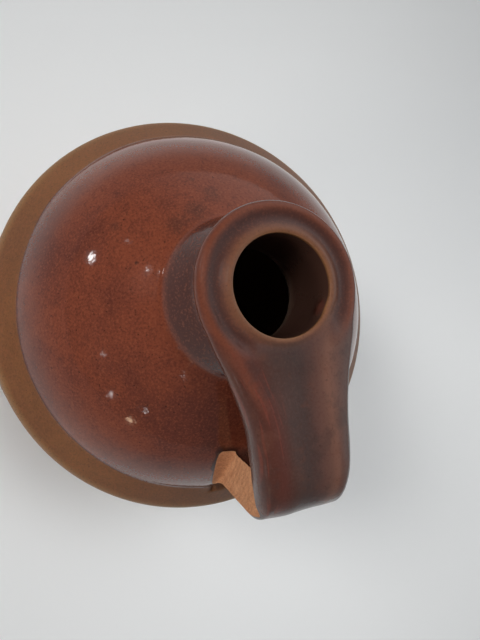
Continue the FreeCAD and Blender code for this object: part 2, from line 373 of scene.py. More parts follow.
def sectionOutline():
    # one round of the section, flat above and below with full round sides, evenly spaced: share
    # of the round, side reached beyond the flat part and lift, starting on the far side, going up
    turn = np.linspace(0, 2 * math.pi, 4001)
    power = 2 / strap["fullness"]
    c, s = np.cos(turn), np.sin(turn)
    side = np.sign(c) * abs(c) ** power
    lift = np.sign(s) * abs(s) ** power
    across = np.where(c >= 0, 1, -1) * strap["sectionFlat"] + (1 - strap["sectionFlat"]) * side
    size = np.hypot(np.diff(across * strap["width"] / 2), np.diff(lift * strap["thickness"] / 2))
    share = np.append(0, np.cumsum(size))
    return share / share[-1] * 360, across, lift


outlineAngle, outlineAcross, outlineLift = sectionOutline()


def strapPoint(run, angle):
    # point of the strap's skin: run along the guide, and angle as the share of the way round
    turn = np.mod(angle, 360)
    across = np.interp(turn, outlineAngle, outlineAcross)
    lift = np.interp(turn, outlineAngle, outlineLift)
    shape = shapeAt(run, guideRun)
    flat = flatEnd(across, shape)
    plain = strap["sectionFlat"]
    beyond = np.maximum(abs(across) - plain, 0) / (1 - plain)
    across = np.sign(across) * (np.minimum(abs(across) / plain, 1) * flat + beyond * (1 - flat))
    half, thick, shift = shape[:3]
    depth = thick / 2 * (1 - lift) + hollowDepth(across, lift, shape)
    x, z = [np.interp(run, guideRun, guide[:, i]) for i in range(2)]
    outX, outZ = [np.interp(run, guideRun, guideNormals[:, i]) for i in range(2)]
    return np.stack([x - outX * depth, shift + across * half, z - outZ * depth], -1)


def ovalMeasure(side, depth, shape):
    # 1 on the skin of the section, less inside: the power mean of lift and of what lies beyond
    # the flat part across
    half, thick, shift = shape[:3]
    across = (side - shift) / half
    lift = 1 - 2 * depth / thick
    lift = lift + 2 / thick * hollowDepth(across, lift, shape)
    flat = flatEnd(across, shape)
    beyond = np.maximum(abs(across) - flat, 0) / (1 - flat)
    n = strap["fullness"]
    return (beyond ** n + abs(lift) ** n + 1e-9) ** (1 / n)


def strapDistance(points):
    # signed distance to the strap and its slope: the nearest place on the guide gives the section,
    # and the section's measure is divided by its own slope
    away, normal, place = nearestOnPath(points[:, [0, 2]], guide, guideNormals)
    index = np.arange(len(guide))
    shape = shapeAt(place, index)
    side, depth = points[:, 1], -away
    step = 0.05
    here, right, left, lower, upper = [
        ovalMeasure(side + a * step, depth + b * step, shape)
        for a, b in ((0, 0), (1, 0), (-1, 0), (0, 1), (0, -1))]
    slopeSide, slopeDepth = (right - left) / (2 * step), (lower - upper) / (2 * step)
    size = np.maximum(np.hypot(slopeSide, slopeDepth), 0.5 / np.maximum(shape[0], shape[1] / 2))
    slope = np.column_stack([-normal[:, 0] * slopeDepth, slopeSide, -normal[:, 1] * slopeDepth])
    slope /= size[:, None]
    run = np.interp(place, index, guideRun)
    # and the distance above the outer face alone
    above = away + hollowDepth((side - shape[2]) / shape[0], 1.0, shape)
    aboveSlope = np.column_stack([normal[:, 0], 0 * side, normal[:, 1]])
    return (here - 1) / size, slope, run, shape, above, aboveSlope


def bodyDistance(points):
    # signed distance to the thrown skin, and its slope
    radius = np.hypot(points[:, 0], points[:, 1])
    away, normal = nearestOnPath(np.column_stack([radius, points[:, 2]]), skin, skinNormals)[:2]
    outwards = normal[:, 0] / radius
    return away, np.column_stack([outwards * points[:, 0], outwards * points[:, 1], normal[:, 1]])


def lowest(a, slopeA, b, slopeB, blend):
    # the lower of two distances, run together smoothly over the blend length
    share = np.clip(0.5 + 0.5 * (b - a) / blend, 0, 1)
    value = b + (a - b) * share - blend * share * (1 - share)
    return value, slopeA * share[:, None] + slopeB * (1 - share)[:, None], share


def highest(a, slopeA, b, slopeB, blend):
    # the higher of two distances, run together in the same way
    value, slope = lowest(-a, -slopeA, -b, -slopeB, blend)[:2]
    return -value, -slope


# Where collar and strap run together, in mm
seam = {
    "planeRadius": 17.4,       # outside this radius the collar's roll is planed down
    "planeStart": 8.0,         # and this far out along the strap
    "planeWidth": 0.80,        # within this share of the strap's half width
    "planeBlend": 1.6,
    "wedge": (38.0, 50.0),     # half angle of the wedge that fills the groove, near and far side
    "wedgeRise": 0.45,
    "wedgeRadius": 16.4,       # it ends here, outside the lip
    "wedgeBlend": 3.0,
    "strapRadius": 21.3,       # the strap proper starts here
    "strapStart": 1.0,
    "strapBlend": 2.0,
    "tight": (216.0, 222.0),   # between these heights a soft join becomes a tight one
}


def jugDistance(points):
    # signed distance to body and strap in one skin, its slope, and the strap's share of it:
    # the collar's roll is planed down to the strap's outer face, the strap is kept out of the
    # mouth, and the two run together, tightly above and softly below
    body, bodySlope = bodyDistance(points)
    handle, handleSlope, run, shape, above, aboveSlope = strapDistance(points)
    x, y, z = points.T
    radius = np.maximum(np.hypot(x, y), 1e-6)
    outwards = np.column_stack([x / radius, y / radius, 0 * radius])
    ahead = np.tile([[1.0, 0.0, 0.0]], (len(points), 1))
    share = abs((y - shape[2]) / shape[0])
    inner = np.minimum(np.minimum(radius - seam["planeRadius"], x - seam["planeStart"]),
                       (seam["planeWidth"] - share) * shape[0])
    tool = np.minimum(above, inner)
    toolSlope = np.where((above < inner)[:, None], aboveSlope, 0 * aboveSlope)
    opened, openedSlope = highest(body, bodySlope, tool, toolSlope, seam["planeBlend"])
    # inside the roll the strap only fills a wedge of the groove, narrower on the near side
    turn = np.radians(np.where(y < 0, *seam["wedge"]))
    wedge = x * np.sin(turn) - abs(y) * np.cos(turn)
    wedgeSlope = np.column_stack([np.sin(turn), -np.sign(y) * np.cos(turn), 0 * turn])
    fill, fillSlope = lowest(radius - seam["wedgeRadius"], outwards, seam["wedgeRise"] * wedge,
                             seam["wedgeRise"] * wedgeSlope, seam["wedgeBlend"])[:2]
    blend = seam["strapBlend"]
    outer, outerSlope = lowest(radius - seam["strapRadius"], outwards, x - seam["strapStart"],
                               ahead, blend)[:2]
    keep, keepSlope = highest(outer, outerSlope, fill, fillSlope, blend)
    trimmed, trimmedSlope = highest(handle, handleSlope, -keep, -keepSlope, blend)
    low = 1 - smoothStep(*seam["tight"], z)
    blend = strap["topBlend"] + (strap["lowBlend"] - strap["topBlend"]) * low
    value, slope, bodyShare = lowest(opened, openedSlope, trimmed, trimmedSlope, blend)
    return value, slope, 1 - bodyShare, run, shape


def settle(points, rounds=4):
    # points slid down the slope until they lie on the jug's skin
    for _ in range(rounds):
        value, slope = jugDistance(points)[:2]
        size = np.maximum((slope ** 2).sum(1), 0.15)
        points = points - np.clip(value / size, -2.5, 2.5)[:, None] * slope
    return points


# How the mesh is laid out: an opening in the collar, one on the dome, and rings round the strap
# from one to the other. Lengths in mm, turns in degrees.
net = {
    "collarFoot": 214.4,       # the collar's opening, from this height under it
    "collarRadius": 17.7,      # over the roll, in to this radius
    "collarTurn": 84,          # this far to both sides
    "rootHeights": (162.6, 185.0),
    "rootTurn": 18,
    "corners": (-145, -35, 35, 145, 215),      # corners of the collar's opening, round the section
    "firstRun": 33.0,          # place of the first ring that lies on the strap
    "bridge": 16,              # rings up to it
    "evenOver": 26.0,          # over this length the rings become evenly divided
    "gap": 0.95,
    "aboveDome": 1.0,          # the last ring of the leg stays this far above the dome
    "near": 9.0,               # this close to the strap, and above this height,
    "nearAbove": 150.0,        # the turned skin settles again, and so does the collar
    "collarAbove": 213.5,      # from here up,
    "lipRadius": 15.4,         # outside this radius
    "settleRounds": 6,
    "relaxRounds": 14,
    "rootRings": 8,            # rings near the root that are evened out
}


def rowAt(height):
    # the outside row nearest to a height
    return int(abs(rows[:topRow, 1] - height).argmin())


def rim(ids, firstRow, lastRow, firstColumn, lastColumn):
    # the vertices round a patch of the turned grid: along the bottom, up, back and down
    return np.concatenate([
        ids[firstRow, firstColumn:lastColumn], ids[firstRow:lastRow, lastColumn],
        ids[lastRow, lastColumn:firstColumn:-1], ids[lastRow:firstRow:-1, firstColumn]])


def buildJug():
    # grid of rows and columns turned from the profile, with two patches left out: one in the
    # collar and one on the dome. Rings of vertices round the strap join the two openings.
    columns = len(azimuth)
    ids = np.arange(len(rows) * columns).reshape(len(rows), columns)
    turned = np.stack([rows[:, :1] * np.cos(azimuth), rows[:, :1] * np.sin(azimuth),
                       np.repeat(rows[:, 1:], columns, 1)], -1).reshape(-1, 3)
    left, right, rootLeft, rootRight = [
        int(abs(np.degrees(azimuth) - turn).argmin())
        for turn in (-net["collarTurn"], net["collarTurn"], -net["rootTurn"], net["rootTurn"])]
    under = rowAt(net["collarFoot"])
    groove = topRow - int(abs(rows[topRow:topRow - 30:-1, 0] - net["collarRadius"]).argmin())
    collarRim = rim(ids, under, groove, left, right)
    low, high = [rowAt(height) for height in net["rootHeights"]]
    rootAcross = rootRight - rootLeft
    rootRim = np.concatenate([ids[high, rootLeft:rootRight], ids[high:low:-1, rootRight],
                              ids[low, rootRight:rootLeft:-1], ids[low:high, rootLeft]])
    around = len(collarRim)
    across, up = right - left, groove - under
    marksAndShade = [0, across, across + up, 2 * across + up, 2 * (across + up)]
    collarAngle = np.interp(np.arange(around), marksAndShade, net["corners"])
    evenAngle = -90 + 360 * (np.arange(around) - across / 2) / around

    firstRun, gap = net["firstRun"], net["gap"]
    firstRing = strapPoint(np.full(around, firstRun), collarAngle)
    rings = [turned[collarRim] * (1 - share) + firstRing * share
             for share in np.arange(1, net["bridge"] + 1) / net["bridge"]]
    runs = firstRun + np.arange(1, int((legRun - firstRun) / gap) + 1) * gap
    for run in runs:
        mix = float(smoothStep(firstRun, firstRun + net["evenOver"], run))
        rings.append(strapPoint(np.full(around, run), collarAngle * (1 - mix) + evenAngle * mix))
    # down the leg, each vertex to its own place just above the dome
    direction = guide[-1] - guide[-12]
    direction = np.array([direction[0], 0, direction[1]]) / np.linalg.norm(direction)
    start = strapPoint(np.full(around, legRun), evenAngle) - [0, 0, domeCentre]
    along = start @ direction
    drop = -along - np.sqrt(along ** 2 - (start ** 2).sum(1) + domeRadius ** 2) - net["aboveDome"]
    steps = int(drop.mean() / gap)
    for step in range(1, steps + 1):
        rings.append(strapPoint(runs[-1] + (legRun + drop - runs[-1]) * step / steps, evenAngle))
    # three more rings reach the opening on the dome
    spot = np.mod((np.arange(around) - across / 2) / around * len(rootRim) + rootAcross / 2, len(rootRim))
    closed = turned[np.append(rootRim, rootRim[0])]
    nearRim = np.stack([np.interp(spot, np.arange(len(closed)), closed[:, i]) for i in range(3)], -1)
    last = rings[-1]
    rings += [last * (1 - share) + nearRim * share for share in (0.25, 0.5, 0.75)]

    ringIds = len(turned) + np.arange(len(rings) * around).reshape(len(rings), around)
    points = np.vstack([turned] + rings + [[[0, 0, rows[0, 1]]], [[0, 0, rows[-1, 1]]]])
    footPole, floorPole = len(points) - 2, len(points) - 1

    nextColumn = np.roll(ids, -1, 1)
    quads = np.stack([ids[:-1], nextColumn[:-1], nextColumn[1:], ids[1:]], -1)
    kept = np.ones(quads.shape[:2], bool)
    kept[under:groove, left:right] = False
    kept[low:high, rootLeft:rootRight] = False
    kept[[0, -1]] = False
    allRings = np.vstack([collarRim[None], ringIds])
    nextRound = np.roll(allRings, -1, 1)
    strapQuads = np.stack([allRings[:-1], nextRound[:-1], nextRound[1:], allRings[1:]], -1).reshape(-1, 4)
    poles = np.vstack([
        np.column_stack([np.full(columns, footPole), nextColumn[1], ids[1]]),
        np.column_stack([np.full(columns, floorPole), ids[-2], nextColumn[-2]])])
    # the last ring and the opening on the dome have different counts, so triangles join them
    inner, outer = np.roll(ringIds[-1], -(across // 2)), np.roll(rootRim, -(rootAcross // 2))
    innerPlace = (np.arange(around) + 0.5) / around
    outerPlace = (np.arange(len(outer)) + 0.501) / len(outer)
    facing = np.searchsorted(outerPlace, innerPlace) % len(outer)
    ownStep = np.column_stack([inner, np.roll(inner, -1), outer[facing]])
    facing = np.searchsorted(innerPlace, outerPlace) % around
    otherStep = np.column_stack([np.roll(outer, -1), outer, inner[facing]])
    triangles = np.vstack([poles, ownStep, otherStep])
    return points, (quads[kept], strapQuads, triangles), ringIds, np.append(collarRim, rootRim)


def relax(points, free, edges, rounds, strength):
    # free vertices drawn towards the mean of their neighbours, then settled back on the skin
    index = np.flatnonzero(free)
    for _ in range(rounds):
        total = np.zeros_like(points)
        count = np.zeros(len(points))
        for a, b in ((0, 1), (1, 0)):
            for axis in range(3):
                total[:, axis] += np.bincount(edges[:, a], points[edges[:, b], axis], len(points))
            count += np.bincount(edges[:, a], minlength=len(points))
        mean = total[index] / count[index][:, None]
        points[index] += strength * (mean - points[index])
        points[index] = settle(points[index], 1)
    return points


def edgesOf(faces):
    pairs = []
    for group in faces:
        for i in range(group.shape[1]):
            pairs.append(group[:, [i, (i + 1) % group.shape[1]]])
    pairs = np.sort(np.vstack(pairs), 1)
    return np.unique(pairs, axis=0)


def joinStrap(points, faces, ringIds, rims):
    # what lies near the strap settles on the common skin, and the rings near both openings are
    # evened out there
    number = np.arange(len(points))
    height, radius = points[:, 2], np.hypot(points[:, 0], points[:, 1])
    outside = number < (topRow + 1) * len(azimuth)
    close = outside & (strapDistance(points)[0] < net["near"]) & (height > net["nearAbove"])
    close &= points[:, 0] > 0
    close |= outside & (height > net["collarAbove"]) & (radius > net["lipRadius"])
    close[ringIds] = True
    points[close] = settle(points[close], net["settleRounds"])
    loose = np.zeros(len(points), bool)
    loose[ringIds[:net["bridge"] + 3]] = True
    loose[ringIds[-net["rootRings"]:]] = True
    loose[rims] = True
    points = relax(points, loose, edgesOf(faces), net["relaxRounds"], 0.5)
    points[close] = settle(points[close], 2)
    return points


points, faces, ringIds, rims = buildJug()
points = joinStrap(points, faces, ringIds, rims)
print("strap joined,", len(points), "points")


# How far the jug is out of true, in mm
uneven = {
    "waves": 0.28,
    "rings": 0.16,             # faint throwing rings on the wall
    "aside": 0.15,             # the neck stands a little to the far side
    "drip": 1.0,               # depth of the run of glaze inside the mouth
    "dripTurn": (57, 10),      # where it lies and how wide it is, in degrees
    "dripHeight": (223.2, 2.6),
}


def drip(points):
    # a run of glaze just inside the mouth on the far side: a bell in azimuth, height and radius
    radius = np.hypot(points[:, 0], points[:, 1])
    around = np.degrees(np.arctan2(points[:, 1], points[:, 0]))
    (turn, width), (height, tall) = uneven["dripTurn"], uneven["dripHeight"]
    return (np.exp(-((around - turn) / width) ** 2 - ((points[:, 2] - height) / tall) ** 2)
            * smoothStep(16.0, 14.6, radius))


def handThrown(points):
    # the whole jug a little out of true: two slow waves round it and faint throwing rings on the
    # wall, always inwards so that it stays within its size, and the neck a little to one side
    radius = np.hypot(points[:, 0], points[:, 1])
    around = np.arctan2(points[:, 1], points[:, 0])
    height = points[:, 2]
    wave = 0.5 + 0.3 * np.sin(2 * around + 0.6 + height / 60) + 0.2 * np.sin(3 * around - 1.1)
    ring = 0.5 + 0.5 * np.sin(height / 4.3 + 0.5 * around) * smoothStep(150, 120, height)
    shrink = 1 - (uneven["waves"] * wave + uneven["rings"] * ring) / thrown["bodyRadius"]
    shrink = shrink - uneven["drip"] * drip(points) / np.maximum(radius, 1)
    result = points.copy()
    result[:, :2] *= shrink[:, None]
    result[:, 1] += uneven["aside"] * smoothStep(196, 226, height)
    return result


def meshFrom(name, points, faces):
    mesh = bpy.data.meshes.new(name)
    mesh.from_pydata((points / 1000).tolist(), [], [face for group in faces for face in group.tolist()])
    mesh.update()
    piece = bpy.data.objects.new(name, mesh)
    bpy.context.scene.collection.objects.link(piece)
    return piece


def tidyMesh(piece):
    # loose points go, doubles merge and faces point outwards
    work = bmesh.new()
    work.from_mesh(piece.data)
    bmesh.ops.delete(work, geom=[v for v in work.verts if not v.link_faces], context="VERTS")
    bmesh.ops.remove_doubles(work, verts=work.verts[:], dist=1e-6)
    bmesh.ops.recalc_face_normals(work, faces=work.faces[:])
    work.to_mesh(piece.data)
    work.free()
    piece.data.shade_smooth()


jug = meshFrom("stonewareJug", handThrown(points), faces)
tidyMesh(jug)


# The near side of the leg is struck off down to bare clay
broken = {
    "rootOffset": 6.1,         # from the middle plane at the inner edge of the root
    "lean": 0.028,
    "tilt": 0.235,
    "middle": 49.5,            # the tilt turns it about this distance from the axis
    "top": 208.5,              # here it turns out of the clay, under the bend
    "turn": 0.42,
    "flareHeight": 3.2,        # and near the dome it runs out over the root
    "flare": 0.95,
    "flareSink": 0.12,         # lower down for every mm outwards of the inner edge of the root,
    "inner": 45.0,             # which is here
    "curlStart": 58.0,         # past this far out it curls towards the near side
    "curl": 0.028,
    "clearance": 0.25,
    "jag": 0.9,                # how raggedly it turns out of the clay
    "wave": 0.16,
    "roughness": 0.19,
    "reach": (41.0, 73.0),     # the block that cuts it: between these distances from the axis,
    "height": 216.5,           # up to here,
    "grid": (60, 110),         # with this many points outwards and upwards
    "rim": 1.1,                # the glaze is dark about this far round the break,
    "rimFrom": 44.0,           # from here outwards
    "rimTo": 214.0,            # and up to here
}


def domeLine(x):
    return domeCentre + np.sqrt(domeRadius ** 2 - np.minimum(x, thrown["glazeRadius"]) ** 2)


def breakOffset(x, z):
    # how far the broken face lies to the near side of the middle plane: a leaning plane that
    # curls outwards at both ends, with slow waves and a fine grain
    b = broken
    spots = np.column_stack([x.ravel(), 0 * x.ravel(), z.ravel()])
    jag = b["jag"] * ripple(spots, 9.0, 4).reshape(x.shape)
    offset = b["rootOffset"] + b["lean"] * (z - thrown["glazeHeight"]) + b["tilt"] * (x - b["middle"])
    offset += b["turn"] * np.maximum(0, z - b["top"] + jag) ** 2
    offset += b["curl"] * np.maximum(0, x - b["curlStart"]) ** 2
    flareHeight = b["flareHeight"] - b["flareSink"] * np.maximum(0, x - b["inner"])
    offset += b["flare"] * np.maximum(0, flareHeight - z + domeLine(x)) ** 2
    offset += b["wave"] * np.sin(0.9 * x + 0.35 * z) * np.cos(0.42 * z - 0.2 * x)
    grain = ripple(spots, 3.4, 5) + 0.6 * ripple(spots, 1.7, 6)
    return offset + b["roughness"] * grain.reshape(x.shape)


def breakTool():
    # closed block on the near side of the broken face: a grid, its flat back and the walls between
    b = broken
    out, up = np.meshgrid(*[np.linspace(0, 1, count) for count in b["grid"]], indexing="ij")
    x = b["reach"][0] + out * (b["reach"][1] - b["reach"][0])
    low = domeLine(x) + b["clearance"]
    z = low + up * (b["height"] - low)
    face = np.stack([x, -breakOffset(x, z), z], -1).reshape(-1, 3)
    back = face.copy()
    back[:, 1] = -60.0
    count = len(face)
    ids = np.arange(count).reshape(b["grid"])
    front = np.stack([ids[:-1, :-1], ids[1:, :-1], ids[1:, 1:], ids[:-1, 1:]], -1).reshape(-1, 4)
    edge = np.concatenate([ids[:-1, 0], ids[-1, :-1], ids[:0:-1, -1], ids[0, :0:-1]])
    following = np.roll(edge, -1)
    walls = np.column_stack([edge, following, following + count, edge + count])
    return meshFrom("breakTool", np.vstack([face, back]), (front, front[:, ::-1] + count, walls))


tool = breakTool()
tidyMesh(tool)
print("break laid out")


# Materials, all from nodes on object coordinates and the jug's own attributes
def colour(tone):
    # a screen colour of 0 to 255 as the shader's own
    return tuple((c / 255 / 12.92) if c < 10.3 else ((c / 255 + 0.055) / 1.055) ** 2.4
                 for c in tone) + (1.0,)


class Nodes:
    # short ways to add nodes to a tree; every input is a value or another node's socket
    def __init__(self, tree):
        self.tree = tree

    def feed(self, socket, value):
        if isinstance(value, bpy.types.NodeSocket):
            self.tree.links.new(value, socket)
        else:
            socket.default_value = value

    def add(self, kind, settings=None, **inputs):
        # an input is named, or numbered as in i0
        made = self.tree.nodes.new(kind)
        for key, value in (settings or {}).items():
            setattr(made, key, value)
        for key, value in inputs.items():
            self.feed(made.inputs[int(key[1:]) if key[1:].isdigit() else key], value)
        return made

    def calc(self, operation, a, b=0.0, c=0.0):
        return self.add("ShaderNodeMath", {"operation": operation}, i0=a, i1=b, i2=c).outputs[0]

    def product(self, first, *others):
        for other in others:
            first = self.calc("MULTIPLY", first, other)
        return first

    def line(self, value, factor, more):
        # value times factor plus more
        return self.calc("MULTIPLY_ADD", value, factor, more)

    def fade(self, value, low, high, toLow=0.0, toHigh=1.0):
        # smooth change from toLow to toHigh as value goes from low to high
        return self.add("ShaderNodeMapRange", {"interpolation_type": "SMOOTHSTEP"}, i0=value, i1=low,
                        i2=high, i3=toLow, i4=toHigh).outputs[0]

    def mix(self, share, first, second):
        # from the first colour to the second; three numbers are a screen colour
        made = self.add("ShaderNodeMix", {"data_type": "RGBA"}, i0=share)
        for place, tone in ((6, first), (7, second)):
            self.feed(made.inputs[place], colour(tone) if isinstance(tone, tuple) else tone)
        return made.outputs[2]

    def noise(self, coordinates, scale, detail, rough):
        return self.add("ShaderNodeTexNoise", Vector=coordinates, Scale=scale, Detail=detail,
                        Roughness=rough).outputs[0]

    def ramp(self, value, stops):
        # colour read from stops, each a place and a screen colour
        low, high = stops[0][0], stops[-1][0]
        made = self.add("ShaderNodeValToRGB",
                        i0=self.add("ShaderNodeMapRange", i0=value, i1=low, i2=high).outputs[0])
        made.color_ramp.interpolation = "B_SPLINE"
        elements = made.color_ramp.elements
        for count, (place, *tone) in enumerate(stops):
            share = (place - low) / (high - low)
            element = elements[count] if count < 2 else elements.new(share)
            element.position = share
            element.color = colour(tone)
        return made.outputs[0]

    def attribute(self, name):
        return self.add("ShaderNodeAttribute", {"attribute_name": name}).outputs["Fac"]

    def place(self):
        return self.add("ShaderNodeTexCoord").outputs["Object"]

    def bump(self, shader, strength, distance, height):
        made = self.add("ShaderNodeBump", Strength=strength, Distance=distance, Height=height)
        self.feed(shader.inputs["Normal"], made.outputs[0])


def newMaterial(name):
    material = bpy.data.materials.new(name)
    material.use_nodes = True
    n = Nodes(material.node_tree)
    n.tree.nodes.clear()
    shader = n.add("ShaderNodeBsdfPrincipled")
    n.add("ShaderNodeOutputMaterial", Surface=shader.outputs[0])
    return material, n, shader


# Colours as on a screen, 0 to 255
glaze = {
    "dome": (122, 61, 40),
    "domeDark": (96, 48, 36),
    # dark marks in the glaze, and painted shade under the strap's near side
    "markAndShade": (58, 38, 31),
    # painted shade: the neck darker under the collar
    "neckShade": (56, 21, 15),
    "line": (70, 30, 22),      # along the glaze's lower edge
    "shoulder": (110, 68, 37),
    "shoulderPale": (130, 84, 48),
    # painted highlight on the shoulder's rounded outer edge
    "shoulderEdgeHighlight": (152, 118, 76),
    "grainPale": (146, 80, 54),
    "grainPaleStrap": (106, 74, 62),
    "grainDark": (76, 38, 29),
    "grainDarkShoulder": (84, 50, 32),
    "speck": (44, 26, 21),
    "breakRimAndShade": (40, 24, 20),      # the glaze's dark rim round the break: its own edge and painted shade
    "inside": (74, 50, 42),
    "deepPaintedLight": (176, 146, 126),   # and paler far down inside: painted light
    "drip": (84, 44, 35),
    "ember": (146, 80, 56),
    "thinLine": (126, 62, 48),
    "cloudPale": (104, 64, 50),
    "cloudDark": (58, 49, 47),
    "under": (70, 41, 33),     # painted shade on the strap's underside
    "roughness": 0.075,
    "satin": 0.16,             # rougher by this on collar and strap
    "matt": 0.40,              # and by this on shoulder and wall
    # noise patterns: scale, detail and roughness
    "patterns": {
        "broad": (24.0, 4.0, 0.55), "mottle": (260.0, 4.0, 0.6), "grain": (1300.0, 3.0, 0.7),
        "speck": (900.0, 1.0, 0.5), "cloud": (130.0, 4.0, 0.6), "waver": (38.0, 2.0, 0.4),
        "wander": (120.0, 4.0, 0.6), "swell": (60.0, 1.0, 0.5), "pebble": (620.0, 1.5, 0.5)},
    # dark marks in the glaze, the last one painted shade on the dome under the strap's near side: place in
    # mm, reach in mm and strength
    "marksAndShade": ((-29.5, -9.0, 194.5, 6.0, 0.55), (-25.5, -16.5, 194.6, 6.0, 0.50),
              (-34.0, -2.0, 192.6, 5.0, 0.4), (-15.8, -30.7, 192.6, 0.9, 0.9),
              (-29.0, -33.6, 185.9, 2.6, 0.45), (-41.0, -6.4, 188.2, 1.2, 0.7),
              (46.0, -14.4, 182.6, 4.5, 0.35)),
    # over the collar from the bore's edge out: radius in mm and colour
    "collar": ((14.4, 134, 92, 60), (15.0, 120, 79, 56), (16.6, 112, 72, 54), (17.4, 95, 60, 48),
               (18.4, 73, 46, 41), (20.4, 70, 44, 39), (21.4, 88, 50, 40), (22.4, 114, 62, 43),
               (23.6, 108, 57, 41), (24.6, 86, 46, 35)),
    # across the strap from the near edge to the far edge, -1 to 1
    "strap": ((-1.0, 88, 54, 45), (-0.84, 76, 45, 38), (-0.72, 90, 48, 38), (-0.56, 92, 50, 42),
              (-0.42, 82, 51, 43), (-0.28, 80, 56, 50), (-0.05, 72, 57, 54), (0.12, 77, 57, 53),
              (0.26, 94, 65, 58), (0.40, 106, 74, 64), (0.52, 128, 89, 74), (0.62, 106, 75, 66),
              (0.8, 94, 68, 61), (1.0, 94, 68, 61)),
}


